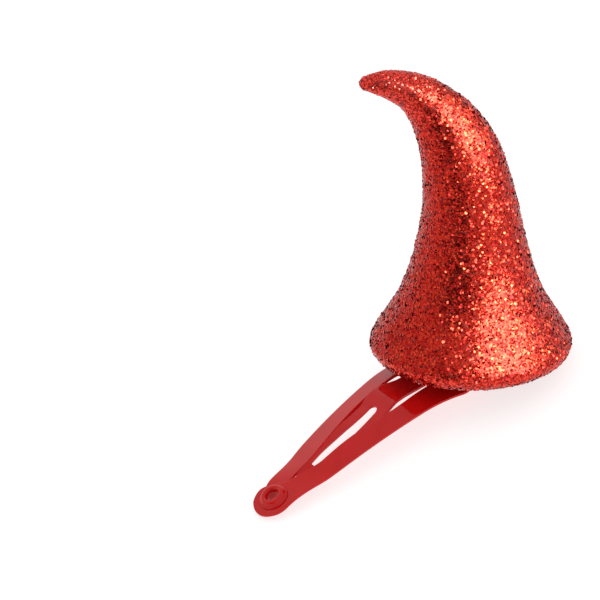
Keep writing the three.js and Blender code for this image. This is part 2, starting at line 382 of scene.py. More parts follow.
class NodeSheet:
    """A material's node tree, with short ways to add and join nodes."""

    def __init__(self, name: str) -> None:
        """Start a material with only a surface shader and its output.

        Args:
            name: The material's name.
        """
        self.material = bpy.data.materials.new(name)
        self.material.use_nodes = True
        self.tree = self.material.node_tree
        self.shader = self.tree.nodes["Principled BSDF"]

    def add(self, kind: str, **settings: Any) -> bpy.types.Node:
        """Add a node.

        Args:
            kind: The node's type, without the words that all shader nodes start with.
            settings: Inputs and properties of the node by name, with _ for a space in an input.

        Returns:
            The new node.
        """
        node = self.tree.nodes.new(f"ShaderNode{kind}")
        for setting, value in settings.items():
            socket = node.inputs.get(setting.replace("_", " "))
            if socket is not None:
                socket.default_value = value
            else:
                setattr(node, setting, value)
        return node

    def join(self, source: bpy.types.NodeSocket, target: bpy.types.NodeSocket) -> None:
        """Link an output to an input."""
        self.tree.links.new(source, target)

    def ramp(self, source: bpy.types.NodeSocket, stops: tuple[Stop, ...]) -> bpy.types.NodeSocket:
        """Turn a number into a colour.

        Args:
            source: The number's socket.
            stops: Places from 0 to 1 with their colours.

        Returns:
            The colour's socket.
        """
        node = self.add("ValToRGB")
        elements = node.color_ramp.elements
        while len(elements) < len(stops):
            elements.new(1.0)
        for element, (place, colour) in zip(elements, stops):
            element.position = place
            element.color = (*colour, 1.0)
        self.join(source, node.inputs["Fac"])
        return node.outputs["Color"]

    def set(self, **values: Any) -> None:
        """Set the surface shader's own inputs by name, with _ for a space."""
        for name, value in values.items():
            self.shader.inputs[name.replace("_", " ")].default_value = value


@dataclass(frozen=True)
class EnamelFinish:
    """Glossy red stoving enamel with a faint ripple and slight clouding."""

    light: Colour = (0.60, 0.0065, 0.006)
    dark: Colour = (0.54, 0.0045, 0.0045)
    cloud_scale: float = 260.0
    cloud_detail: float = 3.0
    cloud_range: tuple[float, float] = (0.3, 0.7)
    ripple_scale: float = 1400.0
    ripple_detail: float = 2.0
    ripple_height: float = 4e-6
    smooth_roughness: float = 0.06
    dull_roughness: float = 0.12
    bend: float = 1.33

    def build(self) -> bpy.types.Material:
        """Mix the enamel.

        Returns:
            Its material.
        """
        sheet = NodeSheet("red_enamel")
        place = sheet.add("TexCoord").outputs["Object"]
        cloud = sheet.add("TexNoise", Scale=self.cloud_scale, Detail=self.cloud_detail)
        ripple = sheet.add("TexNoise", Scale=self.ripple_scale, Detail=self.ripple_detail)
        sheet.join(place, cloud.inputs["Vector"])
        sheet.join(place, ripple.inputs["Vector"])
        stops = tuple(zip(self.cloud_range, (self.dark, self.light)))
        colour = sheet.ramp(cloud.outputs["Fac"], stops)
        sheet.join(colour, sheet.shader.inputs["Base Color"])
        gloss = sheet.add("MapRange", To_Min=self.smooth_roughness, To_Max=self.dull_roughness)
        sheet.join(cloud.outputs["Fac"], gloss.inputs["Value"])
        sheet.join(gloss.outputs["Result"], sheet.shader.inputs["Roughness"])
        bump = sheet.add("Bump", Distance=self.ripple_height)
        sheet.join(ripple.outputs["Fac"], bump.inputs["Height"])
        sheet.join(bump.outputs["Normal"], sheet.shader.inputs["Normal"])
        sheet.set(IOR=self.bend)
        return sheet.material


@dataclass(frozen=True)
class GlueFinish:
    """The tinted glue under the glitter, with the flakes that have sunk into it."""

    flake_scale: float = 2300.0
    deep: Colour = (0.16, 0.004, 0.004)
    bright: Colour = (0.42, 0.012, 0.008)
    metal: float = 0.55
    roughness: float = 0.38
    flake_height: float = 3e-5

    def build(self) -> bpy.types.Material:
        """Mix the glue.

        Returns:
            Its material.
        """
        sheet = NodeSheet("glitter_glue")
        place = sheet.add("TexCoord").outputs["Object"]
        flakes = sheet.add("TexVoronoi", Scale=self.flake_scale)
        sheet.join(place, flakes.inputs["Vector"])
        parts = sheet.add("SeparateColor")
        sheet.join(flakes.outputs["Color"], parts.inputs["Color"])
        colour = sheet.ramp(parts.outputs["Red"], ((0.0, self.deep), (1.0, self.bright)))
        sheet.join(colour, sheet.shader.inputs["Base Color"])
        bump = sheet.add("Bump", Distance=self.flake_height)
        sheet.join(parts.outputs["Green"], bump.inputs["Height"])
        sheet.join(bump.outputs["Normal"], sheet.shader.inputs["Normal"])
        sheet.set(Metallic=self.metal, Roughness=self.roughness)
        return sheet.material


@dataclass(frozen=True)
class GlitterFinish:
    """Metal foil flakes, each with its own tint of red. The last tint is a flake covered by glue."""

    attribute: str = "tint"
    bare_tint: float = 0.9
    glued_tint: float = 1.0
    glued_metal: float = 0.5
    stops: tuple[Stop, ...] = (
        (0.0, (0.16, 0.004, 0.005)),
        (0.27, (0.42, 0.012, 0.010)),
        (0.675, (0.62, 0.032, 0.018)),
        (0.9, (0.80, 0.085, 0.035)),
        (1.0, (0.98, 0.056, 0.030)),
    )
    roughness: float = 0.16

    def build(self) -> bpy.types.Material:
        """Colour the flakes.

        Returns:
            Their material.
        """
        sheet = NodeSheet("glitter_foil")
        tint = sheet.add("Attribute", attribute_name=self.attribute)
        sheet.join(sheet.ramp(tint.outputs["Fac"], self.stops), sheet.shader.inputs["Base Color"])
        metal = sheet.add(
            "MapRange",
            From_Min=self.bare_tint,
            From_Max=self.glued_tint,
            To_Min=1.0,
            To_Max=self.glued_metal,
        )
        sheet.join(tint.outputs["Fac"], metal.inputs["Value"])
        sheet.join(metal.outputs["Result"], sheet.shader.inputs["Metallic"])
        sheet.set(Roughness=self.roughness)
        return sheet.material


@dataclass(frozen=True)
class HornSection:
    """A round section of the horn: how high and how far out its middle is, and its radius."""

    rise: float
    sweep: float
    radius: float


@dataclass(frozen=True)
class Ring:
    """One ring of the horn's skin."""

    sweep: float
    rise: float
    lean: float
    radius: float

    @property
    def centre(self) -> Vector:
        """The ring's middle in the horn's own axes."""
        return Vector((0.0, -self.sweep, self.rise))


@dataclass(frozen=True)
class Horn:
    """The foam horn: a flat underside, a rounded rim, a flared body and a tip that curls over."""

    rim_round: float = 2.9e-3
    rim_steps: int = 6
    sides: int = 72
    section_steps: int = 3
    tip_steps: int = 4
    tip_end: float = 0.94
    sweep_turn: float = math.radians(40.0)
    lump_size: float = 7e-3
    lump_height: float = 0.25e-3
    crease: float = math.radians(60.0)
    sections: tuple[HornSection, ...] = (
        HornSection(rise=2.9e-3, sweep=0.0, radius=17e-3),
        HornSection(rise=6.3e-3, sweep=0.0, radius=15.1e-3),
        HornSection(rise=9.8e-3, sweep=0.0, radius=12.9e-3),
        HornSection(rise=14e-3, sweep=0.0, radius=11.1e-3),
        HornSection(rise=20e-3, sweep=0.0, radius=9.35e-3),
        HornSection(rise=29e-3, sweep=0.4e-3, radius=7.75e-3),
        HornSection(rise=36.4e-3, sweep=1.75e-3, radius=6.75e-3),
        HornSection(rise=39.8e-3, sweep=3.1e-3, radius=6.1e-3),
        HornSection(rise=42.6e-3, sweep=4.7e-3, radius=5.4e-3),
        HornSection(rise=45.8e-3, sweep=7.2e-3, radius=4.35e-3),
        HornSection(rise=48e-3, sweep=10e-3, radius=3.4e-3),
        HornSection(rise=49.2e-3, sweep=13.2e-3, radius=2.6e-3),
        HornSection(rise=49.6e-3, sweep=15.6e-3, radius=2e-3),
        HornSection(rise=49.6e-3, sweep=17.6e-3, radius=1.3e-3),
    )

    @property
    def tip(self) -> Vector:
        """The middle of the last section in the horn's own axes."""
        last = self.sections[-1]
        return Vector((0.0, -last.sweep, last.rise))

    def turn(self) -> Matrix:
        """Return how the horn is turned on its clip."""
        return Matrix.Rotation(-self.sweep_turn, 4, "Z")

    def rings(self) -> list[Ring]:
        """Lay out the horn's rings.

        Returns:
            Rings from the middle of the flat underside to the end of the tip.
        """
        flat = self.sections[0].radius - self.rim_round
        rings = [Ring(0.0, 0.0, 0.0, 0.0)]
        for step in range(self.rim_steps):
            angle = step / self.rim_steps * math.pi / 2.0
            rise = self.rim_round * (1.0 - math.cos(angle))
            rings.append(Ring(0.0, rise, 0.0, flat + self.rim_round * math.sin(angle)))
        rows = np.array([(row.sweep, row.rise, row.radius) for row in self.sections])
        drawn = spline(rows, self.section_steps)
        headings = np.gradient(drawn, axis=0)
        for (sweep, rise, radius), (out, ahead, _) in zip(drawn, headings):
            rings.append(Ring(sweep, rise, math.atan2(max(out, 0.0), ahead), radius))
        last = rings[-1]
        for step in range(1, self.tip_steps + 1):
            angle = step / self.tip_steps * self.tip_end * math.pi / 2.0
            ahead = last.radius * math.sin(angle)
            rings.append(Ring(
                last.sweep + ahead * math.sin(last.lean),
                last.rise + ahead * math.cos(last.lean),
                last.lean,
                last.radius * math.cos(angle),
            ))
        return rings + [replace(rings[-1], radius=0.0)]

    def build(self) -> bpy.types.Object:
        """Wrap a sheet round the horn's rings, close it, and give the foam its soft unevenness.

        The sheet's faces come in the same order in every run, so the flakes fall in the same places.

        Returns:
            The skin in the horn's own axes.
        """
        rings = self.rings()
        last_ring = len(rings) - 1

        def corner(along: float, across: float) -> Vector:
            """Place a corner of the skin.

            Args:
                along: Share of the way from the first ring to the last.
                across: Share of the way round a ring.

            Returns:
                The corner in the horn's own axes.
            """
            ring = rings[round(along * last_ring)]
            angle = (1.0 - across) * 2.0 * math.pi
            out = ring.radius * math.sin(angle)
            return ring.centre + Vector((
                ring.radius * math.cos(angle),
                out * math.cos(ring.lean),
                out * math.sin(ring.lean),
            ))

        skin = laid_grid("horn_foam", (last_ring, self.sides), corner)
        bpy.ops.object.mode_set(mode="EDIT")
        weld()
        bpy.ops.mesh.normals_make_consistent(inside=False)
        bpy.ops.object.mode_set(mode="OBJECT")
        apply_modifier(skin, "SUBSURF", levels=1, render_levels=1)
        lumps = bpy.data.textures.new("foam_lumps", "CLOUDS")
        lumps.noise_scale = self.lump_size
        apply_modifier(skin, "DISPLACE", texture=lumps, strength=self.lump_height)
        return skin

    def dress(self, skin: bpy.types.Object, place: Placement, finish: bpy.types.Material) -> None:
        """Set the skin on the clip with its finish.

        Args:
            skin: The horn's skin in its own axes.
            place: Where the clip stands.
            finish: The skin's material.
        """
        settle(skin, place.matrix @ self.turn())
        shade(skin, finish, self.crease)
        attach(skin, Body.CLIP.value)
        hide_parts("horn")


@dataclass(frozen=True)
class GlitterCoat:
    """Hexagonal foil flakes scattered over the horn."""

    name: str
    flakes: int
    across: float
    lean: float
    lift: float
    seed: int
    across_spread: float = 0.18
    spread_limit: float = 2.0
    corners: int = 6
    underside_share: float = 0.12
    underside_slope: float = -0.9
    tip_near: float = 5e-3
    tip_far: float = 15e-3
    tip_across: float = 0.65
    tip_glued: float = 0.9
    rim_glued: float = 0.4
    tint_shape: tuple[float, float] = (2.2, 1.8)
    least_area: float = 1e-18
    bake_map: str = "OFBake"
    cell_fill: float = 0.7

    def share(self, normals: np.ndarray) -> np.ndarray:
        """Return the share of a full coat that lies where the skin looks each way."""
        return np.where(normals[:, 2] < self.underside_slope, self.underside_share, 1.0)

    def scatter(
        self, skin: bpy.types.Object, draw: np.random.Generator
    ) -> tuple[np.ndarray, np.ndarray]:
        """Drop the flakes on the skin.

        Args:
            skin: The horn's skin in its own axes.
            draw: Where the random numbers come from.

        Returns:
            The flakes' middles, and the skin's direction under each.
        """
        mesh = skin.data
        mesh.calc_loop_triangles()
        places = np.empty(len(mesh.vertices) * 3)
        mesh.vertices.foreach_get("co", places)
        places = places.reshape(-1, 3)
        directions = np.array([normal.vector for normal in mesh.vertex_normals])
        triangles = np.empty(len(mesh.loop_triangles) * 3, dtype=np.int64)
        mesh.loop_triangles.foreach_get("vertices", triangles)
        triangles = triangles.reshape(-1, 3)
        corners = places[triangles]
        facing = np.cross(corners[:, 1] - corners[:, 0], corners[:, 2] - corners[:, 0])
        doubled_area = np.linalg.norm(facing, axis=1)
        weight = doubled_area * self.share(facing / np.maximum(doubled_area, self.least_area)[:, None])
        chosen = draw.choice(len(triangles), size=self.flakes, p=weight / weight.sum())
        parts = draw.dirichlet((1.0, 1.0, 1.0), size=self.flakes)
        middles = np.einsum("fk,fkx->fx", parts, corners[chosen])
        normals = np.einsum("fk,fkx->fx", parts, directions[triangles[chosen]])
        return middles, normals / np.linalg.norm(normals, axis=1, keepdims=True)

    def build(self, skin: bpy.types.Object, horn: Horn) -> bpy.types.Object:
        """Make the coat as one mesh of loose flakes.

        Args:
            skin: The horn's skin in its own axes.
            horn: The horn's sizes.

        Returns:
            The coat in the horn's own axes.
        """
        draw = np.random.default_rng(self.seed)
        middles, normals = self.scatter(skin, draw)
        facing, first, second = self.flake_axes(normals, draw)
        from_tip = np.linalg.norm(middles - np.array(horn.tip), axis=1)
        off_tip = smooth(from_tip, self.tip_near, self.tip_far)
        drawn = draw.normal(size=self.flakes).clip(-self.spread_limit, self.spread_limit)
        tip_size = self.tip_across + (1.0 - self.tip_across) * off_tip
        radius = self.across / 2.0 * (1.0 + self.across_spread * drawn) * tip_size
        steep = np.sqrt(1.0 - np.einsum("fx,fx->f", facing, normals).clip(-1.0, 1.0) ** 2)
        height = self.lift * draw.random(self.flakes) + radius * steep / 2.0
        lifted = middles + normals * height[:, None]
        angles = np.arange(self.corners) * 2.0 * math.pi / self.corners
        places = (
            lifted[:, None, :]
            + (radius[:, None] * np.cos(angles))[:, :, None] * first[:, None, :]
            + (radius[:, None] * np.sin(angles))[:, :, None] * second[:, None, :]
        )
        on_rim = middles[:, 2] < horn.rim_round
        glued_share = np.where(on_rim, self.rim_glued, self.tip_glued * (1.0 - off_tip))
        tints = self.flake_tints(glued_share, draw)
        order = np.argsort(tints)
        return self.mesh_of(places[order], tints[order], angles)

    def flake_axes(
        self, normals: np.ndarray, draw: np.random.Generator
    ) -> tuple[np.ndarray, np.ndarray, np.ndarray]:
        """Lean each flake a little off the skin, and turn it any way.

        Args:
            normals: The skin's direction under each flake.
            draw: Where the random numbers come from.

        Returns:
            The way that each flake faces, and two directions in its plane, square to each other.
        """
        any_way = draw.normal(size=(self.flakes, 3))
        leaning = any_way - normals * np.einsum("fx,fx->f", any_way, normals)[:, None]
        facing = normals + self.lean * leaning
        facing /= np.linalg.norm(facing, axis=1, keepdims=True)
        spin = draw.normal(size=(self.flakes, 3))
        first = np.cross(facing, spin)
        first /= np.linalg.norm(first, axis=1, keepdims=True)
        return facing, first, np.cross(facing, first)

    def flake_tints(self, glued_share: np.ndarray, draw: np.random.Generator) -> np.ndarray:
        """Give each flake its tint.

        Args:
            glued_share: How likely each flake is to be covered by glue.
            draw: Where the random numbers come from.

        Returns:
            The tints, from 0 to 1.
        """
        glued = draw.random(self.flakes) < glued_share
        bare_tints = GlitterFinish.bare_tint * draw.beta(*self.tint_shape, size=self.flakes)
        return np.where(glued, GlitterFinish.glued_tint, bare_tints)

    def mesh_of(self, places: np.ndarray, tints: np.ndarray, angles: np.ndarray) -> bpy.types.Object:
        """Join the flakes into one mesh, with their tints and a map that has a cell for each.

        Args:
            places: The corners of each flake.
            tints: The tint of each flake, from 0 to 1, in rising order.
            angles: The angle of each corner round its flake.

        Returns:
            The coat's object.
        """
        mesh = bpy.data.meshes.new(self.name)
        count = self.flakes * self.corners
        mesh.vertices.add(count)
        mesh.vertices.foreach_set("co", places.ravel())
        mesh.loops.add(count)
        mesh.loops.foreach_set("vertex_index", np.arange(count))
        mesh.polygons.add(self.flakes)
        mesh.polygons.foreach_set("loop_start", np.arange(0, count, self.corners))
        mesh.update(calc_edges=True)
        tint = mesh.attributes.new(GlitterFinish.attribute, "FLOAT", "POINT")
        tint.data.foreach_set("value", np.repeat(tints, self.corners))
        columns = math.ceil(math.sqrt(self.flakes))
        cell = np.stack(np.divmod(np.arange(self.flakes), columns), axis=1) + 0.5
        outline = np.stack([np.cos(angles), np.sin(angles)], axis=1) * self.cell_fill / 2.0
        spots = (cell[:, None, :] + outline[None, :, :]) / columns
        layer = mesh.uv_layers.new(name=self.bake_map)
        layer.uv.foreach_set("vector", spots.ravel())
        coat = bpy.data.objects.new(self.name, mesh)
        bpy.context.scene.collection.objects.link(coat)
        return coat

    def dress(self, coat: bpy.types.Object, place: Matrix, finish: bpy.types.Material) -> None:
        """Set the coat on the horn with its finish.

        Args:
            coat: The coat in the horn's own axes.
            place: Where the horn stands.
            finish: The flakes' material.
        """
        settle(coat, place)
        coat.data.materials.append(finish)
        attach(coat, Body.CLIP.value)


@dataclass(frozen=True)
class SheetEdge:
    """How a stamped edge of the sheet is rounded by its paint."""

    width: float = 0.13e-3
    segments: int = 3
    sharp: float = math.radians(50.0)
    crease: float = math.radians(35.0)
    root_near: float = 0.0325e-3

    def finish(self, sheet: bpy.types.Object, layout: ClipLayout, place: Placement, root: float) -> None:
        """Give a laid sheet its thickness below its top, and round its edges except along its root.

        Args:
            sheet: The sheet, with no thickness yet.
            layout: The clip's layout.
            place: Where the clip stands.
            root: The reach of the sheet's root, where the frame and the tongue are one sheet.
        """
        face_up(sheet, place.along(UPWARD))
        apply_modifier(sheet, "SOLIDIFY", thickness=layout.sheet, offset=-1.0, use_even_offset=True)
        root_line = layout.point(root, 0.0, 0.0).y
        back = place.matrix.inverted()
        self.round_off(sheet, lambda corner: abs((back @ corner).y - root_line) < self.root_near)

    def round_off(self, sheet: bpy.types.Object, kept: Callable[[Vector], bool]) -> None:
        """Round the sheet's sharp edges.

        Args:
            sheet: The sheet with its thickness.
            kept: True for a corner's place where the edge stays sharp.
        """
        bpy.context.view_layer.objects.active = sheet
        bpy.ops.object.mode_set(mode="EDIT")
        bpy.ops.mesh.select_mode(type="EDGE")
        bpy.ops.mesh.select_all(action="DESELECT")
        cut = bmesh.from_edit_mesh(sheet.data)
        for edge in cut.edges:
            turned = edge.is_manifold and edge.calc_face_angle() > self.sharp
            edge.select_set(turned and not all(kept(end.co) for end in edge.verts))
        bmesh.update_edit_mesh(sheet.data)
        bpy.ops.mesh.bevel(offset=self.width, segments=self.segments, affect="EDGES", clamp_overlap=True)
        bpy.ops.mesh.select_mode(type="VERT")
        bpy.ops.object.mode_set(mode="OBJECT")


@dataclass(frozen=True)
class ClipFrame:
    """The horseshoe of the clip: two legs that lap in a round end, joined by a round wide end."""

    outer_half: float = 3.75e-3
    outer_spread: float = 0.158
    outer_ease: float = 0.9
    inner_slim: float = 1.05e-3
    inner_wide: float = 3.6e-3
    inner_flare: tuple[float, float] = (8e-3, 29e-3)
    slit_shift: float = 0.57e-3
    slit_fade: tuple[float, float] = (9e-3, 19e-3)
    taper_top: float = -1.45e-3
    taper_low: float = 0.27e-3
    taper_fade: tuple[float, float] = (3.5e-3, 10.5e-3)
    wide_end_reach: float = 40e-3
    wide_end_depth: float = 8.5e-3
    round_length: float = 3.85e-3
    round_angle: float = math.radians(50.0)
    lower_inset: float = 0.5e-3
    lower_fade: float = 3e-3
    crossing: tuple[float, float] = (0.0, 5e-3)
    leg_cells: int = 130
    end_cells: int = 14
    wide_end_cells: int = 72
    cells_across: int = 14
    bore: float = 1.85e-3
    bore_sides: int = 48
    drill_depth: float = 2.7e-3

    @property
    def cells(self) -> int:
        """Cells round the whole horseshoe."""
        return 2 * self.leg_cells + self.wide_end_cells

    def root(self, layout: ClipLayout) -> float:
        """Return the reach where the frame meets the tongue's root."""
        return layout.root_reach + layout.gap / 2.0

    def end_length(self, leg: Leg) -> float:
        """Return a round end's length: the lower one is smaller, and hides under the top one."""
        return self.round_length - (self.lower_inset if leg is Leg.LOWER else 0.0)

    def leg_outer(self, reach: float, leg: Leg) -> float:
        """Lay out a leg's outer edge: half an ellipse at its end, then a curve.

        Args:
            reach: Distance from the eyelet along the clip.
            leg: Which leg it is.

        Returns:
            The edge's distance from the middle line.
        """
        run = max(reach, 0.0)
        past = min(reach, 0.0) / self.end_length(leg)
        inset = self.lower_inset * (1.0 - smooth(reach, 0.0, self.lower_fade)) if leg is Leg.LOWER else 0.0
        half = self.outer_half + run * (self.outer_spread - run * self.outer_ease)
        return (half - inset) * math.sqrt(1.0 - past * past)

    def leg_inner(self, reach: float, leg: Leg) -> float:
        """Lay out a leg's inner edge, which crosses over to the far side of the round end.

        Args:
            reach: Distance from the eyelet along the clip.
            leg: Which leg it is.

        Returns:
            The edge's distance from the middle line.
        """
        far_side = -self.leg_outer(min(reach, 0.0), leg)
        opened = smooth(reach, *self.inner_flare)
        edge = self.inner_slim + (self.inner_wide - self.inner_slim) * opened
        edge -= leg * self.slit_shift * (1.0 - smooth(reach, *self.slit_fade))
        taper = self.taper_low if leg is Leg.LOWER else self.taper_top
        edge += taper * (1.0 - smooth(reach, *self.taper_fade))
        return far_side + (edge - far_side) * smooth(reach, *self.crossing)

    def leg_station(self, cell: float, leg: Leg, layout: ClipLayout) -> tuple[float, float, float]:
        """Lay out one cross line of a leg.

        Args:
            cell: How many cells it is from the leg's round end.
            leg: Which leg it is.
            layout: The clip's layout.

        Returns:
            The reach of its inner end, that of its outer end, and how far the round end bulges past it.
        """
        if cell < self.end_cells:
            share = cell / self.end_cells
            length = self.end_length(leg)
            angle = self.round_angle + (math.pi / 2.0 - self.round_angle) * share
            reach = -length * math.cos(angle)
            return reach, reach, length * (1.0 - math.cos(self.round_angle)) * (1.0 - share)
        share = (cell - self.end_cells) / (self.leg_cells - self.end_cells)
        return self.root(layout) * share, self.wide_end_reach * share, 0.0

    def spot(self, along: float, across: float, layout: ClipLayout) -> Vector:
        """Place a corner of the horseshoe.

        Args:
            along: Share of the way round, from the top leg's end to the lower leg's end.
            across: Share from the outer edge to the inner one.
            layout: The clip's layout.

        Returns:
            The corner in the clip's own axes.
        """
        cell = along * self.cells
        leg = Leg.TOP if cell < self.cells / 2 else Leg.LOWER
        leg_cell = min(cell, self.cells - cell)
        bulge = 0.0
        if leg_cell <= self.leg_cells:
            inner_reach, outer_reach, bulge = self.leg_station(leg_cell, leg, layout)
            inner = Vector((inner_reach, leg * self.leg_inner(inner_reach, leg)))
            outer = Vector((outer_reach, leg * self.leg_outer(outer_reach, leg)))
            bulge *= 1.0 - (2.0 * across - 1.0) ** 2
        else:
            turn = ((cell - self.leg_cells) / self.wide_end_cells - 0.5) * math.pi
            root = self.root(layout)
            inner = Vector((root, self.leg_inner(root, leg) * math.sin(turn)))
            outer = Vector((
                self.wide_end_reach + self.wide_end_depth * math.cos(turn),
                self.leg_outer(self.wide_end_reach, leg) * math.sin(turn),
            ))
        reach, side = outer.lerp(inner, across)
        reach -= bulge
        return layout.point(reach, side, layout.leg_up(reach, side, leg))

    def drill(self, frame: bpy.types.Object, layout: ClipLayout, place: Placement) -> None:
        """Drill both lapped ends for the eyelet.

        Args:
            frame: The frame with its thickness.
            layout: The clip's layout.
            place: Where the clip stands.
        """
        deselect()
        bpy.ops.mesh.primitive_cylinder_add(
            vertices=self.bore_sides, radius=self.bore, depth=self.drill_depth
        )
        drill = named("eyelet_drill")
        settle(drill, place.matrix @ eyelet_axes(layout))
        apply_modifier(frame, "BOOLEAN", operation="DIFFERENCE", object=drill, solver="EXACT")
        bpy.data.objects.remove(drill)

    def build(self, layout: ClipLayout, place: Placement, edge: SheetEdge) -> bpy.types.Object:
        """Lay the frame's sheet, give it its thickness, round its edges and drill it.

        Args:
            layout: The clip's layout.
            place: Where the clip stands.
            edge: How the sheet's edges are rounded.

        Returns:
            The frame.
        """
        frame = laid_grid(
            "snap_frame",
            (self.cells, self.cells_across),
            lambda along, across: place.at(self.spot(along, across, layout)),
        )
        edge.finish(frame, layout, place, self.root(layout))
        self.drill(frame, layout, place)
        return frame

    def dress(self, frame: bpy.types.Object, finish: bpy.types.Material, edge: SheetEdge) -> None:
        """Give the frame its finish and its body.

        Args:
            frame: The frame.
            finish: Its material.
            edge: How the sheet's edges are rounded.
        """
        shade(frame, finish, edge.crease)
        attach(frame, Body.CLIP.value)
        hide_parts("clip_frame")


@dataclass(frozen=True)
class TongueStation:
    """A row of the tongue: the side of both its edges, its middle line's height and its slope across."""

    reach: float
    near: float
    far: float
    up: float
    slope: float


@dataclass(frozen=True)
class ClipTongue:
    """The slotted tongue between the legs, which bends at its root."""

    flat: tuple[float, float] = (33e-3, 37.5e-3)
    slot_tip: float = 8.9e-3
    slot_root: float = 24.6e-3
    slot_half: float = 0.95e-3
    slot_tip_round: float = 0.4e-3
    slot_tip_cut: float = 0.02e-3
    slot_root_side: float = 0.18e-3
    slot_skew: float = 0.084
    slot_end_rows: int = 9
    station_rows: int = 8
    slope_scale: float = 1e-2
    strip_cells: int = 7
    strip_share: float = 0.2
    row_step: float = 0.01e-3
    flex_reach: float = 30e-3
    root_overlap: float = 0.15e-3
    stations: tuple[TongueStation, ...] = (
        TongueStation(reach=5.4e-3, near=-0.7e-3, far=0.15e-3, up=-0.72e-3, slope=0.6),
        TongueStation(reach=5.8e-3, near=-1.1e-3, far=0.35e-3, up=-0.62e-3, slope=0.6),
        TongueStation(reach=6.4e-3, near=-1.5e-3, far=0.42e-3, up=-0.55e-3, slope=0.55),
        TongueStation(reach=7.2e-3, near=-1.95e-3, far=0.44e-3, up=-0.5e-3, slope=0.46),
        TongueStation(reach=8.2e-3, near=-2.25e-3, far=0.45e-3, up=-0.47e-3, slope=0.38),
        TongueStation(reach=10e-3, near=-2.7e-3, far=0.51e-3, up=-0.47e-3, slope=0.38),
        TongueStation(reach=12e-3, near=-2.85e-3, far=0.76e-3, up=-0.57e-3, slope=0.36),
        TongueStation(reach=14e-3, near=-2.9e-3, far=1.19e-3, up=-0.78e-3, slope=0.32),
        TongueStation(reach=16e-3, near=-2.95e-3, far=1.67e-3, up=-0.98e-3, slope=0.27),
        TongueStation(reach=18e-3, near=-2.95e-3, far=2.13e-3, up=-1.1e-3, slope=0.2),
        TongueStation(reach=20e-3, near=-2.88e-3, far=2.5e-3, up=-1.22e-3, slope=0.12),
        TongueStation(reach=22e-3, near=-2.7e-3, far=2.84e-3, up=-1.22e-3, slope=0.05),
        TongueStation(reach=23.5e-3, near=-2.8e-3, far=3.06e-3, up=-1.12e-3, slope=0.0),
        TongueStation(reach=25.2e-3, near=-2.8e-3, far=3.28e-3, up=-0.82e-3, slope=0.0),
        TongueStation(reach=27e-3, near=-2.68e-3, far=3.42e-3, up=-0.55e-3, slope=0.0),
        TongueStation(reach=28.8e-3, near=-2.5e-3, far=3.4e-3, up=-0.75e-3, slope=0.0),
        TongueStation(reach=30.6e-3, near=-2.25e-3, far=3.05e-3, up=-1.12e-3, slope=0.0),
        TongueStation(reach=32.4e-3, near=-2.15e-3, far=2.8e-3, up=-1.32e-3, slope=0.0),
        TongueStation(reach=34.2e-3, near=-2.35e-3, far=2.8e-3, up=-1.15e-3, slope=0.0),
        TongueStation(reach=36e-3, near=-2.8e-3, far=3e-3, up=-0.65e-3, slope=0.0),
        TongueStation(reach=38e-3, near=-3.2e-3, far=3.2e-3, up=0.0, slope=0.0),
    )

    def slot_middle(self, reach: float) -> float:
        """Return the side of the slot's middle line, which runs askew to the clip's."""
        return self.slot_root_side - (self.slot_root - reach) * self.slot_skew

    def slot_width(self, reach: float) -> float:
        """Lay out the slot: a round end at its root, and a squarer one at its tip.

        Args:
            reach: Distance from the eyelet along the clip.

        Returns:
            Half the slot's width, which is 0 outside the slot.
        """
        cut = 0.0
        for past, rounding in (
            (reach - self.slot_tip, self.slot_tip_round),
            (self.slot_root - reach, self.slot_half),
        ):
            if past <= 0.0:
                return 0.0
            short = 1.0 - min(past / rounding, 1.0)
            cut = max(cut, rounding * (1.0 - math.sqrt(1.0 - short * short)))
        return self.slot_half - cut

    def rows(self) -> np.ndarray:
        """Lay out the tongue's cross rows.

        Returns:
            The numbers of a station for each row, with rows close together at the slot's ends.
        """
        stations = np.array([(row.reach, row.near, row.far, row.up, row.slope) for row in self.stations])
        edges = spline(stations[:, [0, 1, 2]], self.station_rows)
        heights = spline(stations[:, [0, 3]], self.station_rows)
        slopes = spline(stations[:, [0, 4]] * (1.0, self.slope_scale), self.station_rows)
        ease = 1.0 - np.cos(np.linspace(0.0, math.pi / 2.0, self.slot_end_rows))
        reaches = np.unique(np.concatenate([
            edges[:, 0],
            self.slot_tip + self.slot_tip_cut + self.slot_tip_round * ease,
            self.slot_root - self.slot_half * ease,
            [self.slot_tip],
        ]))
        reaches = reaches[np.append(True, np.diff(reaches) > self.row_step)]
        return np.stack([
            reaches,
            np.interp(reaches, edges[:, 0], edges[:, 1]),
            np.interp(reaches, edges[:, 0], edges[:, 2]),
            np.interp(reaches, heights[:, 0], heights[:, 1]),
            np.interp(reaches, slopes[:, 0], slopes[:, 1]) / self.slope_scale,
        ], axis=1)

    def build(self, layout: ClipLayout, place: Placement, edge: SheetEdge) -> bpy.types.Object:
        """Lay two strips of sheet that part round the slot, join them beyond it and round their edges.

        Args:
            layout: The clip's layout.
            place: Where the clip stands.
            edge: How the sheet's edges are rounded.

        Returns:
            The tongue.
        """
        rows = self.rows()
        rows[-1, 0] += self.root_overlap
        columns = 2 * self.strip_cells + 1
        last_row = len(rows) - 1

